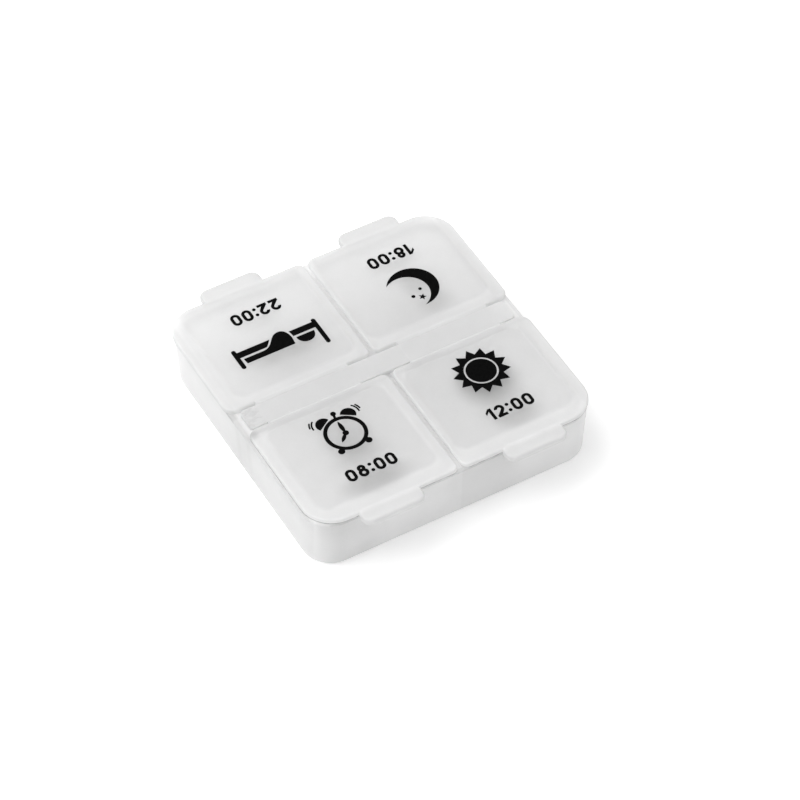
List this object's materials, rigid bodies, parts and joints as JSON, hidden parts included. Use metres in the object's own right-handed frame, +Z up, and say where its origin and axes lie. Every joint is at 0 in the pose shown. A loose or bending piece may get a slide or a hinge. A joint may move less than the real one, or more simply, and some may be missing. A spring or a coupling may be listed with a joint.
{
  "type": "daily pill organizer",
  "caption": "Square frosted plastic pill organizer: a tray of compartments under hinged lids with thumb tabs, printed with time-of-day pictures and plain hours.",
  "frame": {"origin": "middle of the tray's flat underside", "axes": "+X along the front edge, from the morning lid to the noon lid; +Y from the front lids to the back lids; +Z up, out of the lids"},
  "size_m": [0.0606, 0.0658, 0.0129],
  "materials": {
    "tray_plastic": "frosted, semi-clear polypropylene, fine matt",
    "lid_plastic": "frosted, semi-clear polypropylene, satin on top",
    "film_plastic": "thin frosted polypropylene, slightly whitened where it bends",
    "ink": "flat black printing ink"
  },
  "bodies": {
    "base": {"base_tray": "tray_plastic", "hinge_spine": "lid_plastic", "morning_film_hinge": "film_plastic", "noon_film_hinge": "film_plastic", "evening_film_hinge": "film_plastic", "bedtime_film_hinge": "film_plastic"},
    "morning_lid": {"morning_lid": "lid_plastic", "morning_clock_print": "ink", "morning_number_print": "ink"},
    "noon_lid": {"noon_lid": "lid_plastic", "noon_sun_print": "ink", "noon_number_print": "ink"},
    "evening_lid": {"evening_lid": "lid_plastic", "evening_moon_print": "ink", "evening_number_print": "ink"},
    "bedtime_lid": {"bedtime_lid": "lid_plastic", "bedtime_bed_print": "ink", "bedtime_number_print": "ink"}
  },
  "joints": [
    {"name": "morning_lid_hinge", "type": "hinge", "parent": "base", "child": "morning_lid", "pos_m": [0, -0.0026, 0.01247], "axis": [-1, 0, 0], "range_deg": [0, 93], "deforming": ["morning_film_hinge"]},
    {"name": "noon_lid_hinge", "type": "hinge", "parent": "base", "child": "noon_lid", "pos_m": [0, -0.0026, 0.01247], "axis": [-1, 0, 0], "range_deg": [0, 93], "deforming": ["noon_film_hinge"]},
    {"name": "evening_lid_hinge", "type": "hinge", "parent": "base", "child": "evening_lid", "pos_m": [0, 0.0026, 0.01247], "axis": [1, 0, 0], "range_deg": [0, 93], "deforming": ["evening_film_hinge"]},
    {"name": "bedtime_lid_hinge", "type": "hinge", "parent": "base", "child": "bedtime_lid", "pos_m": [0, 0.0026, 0.01247], "axis": [1, 0, 0], "range_deg": [0, 93], "deforming": ["bedtime_film_hinge"]}
  ]
}
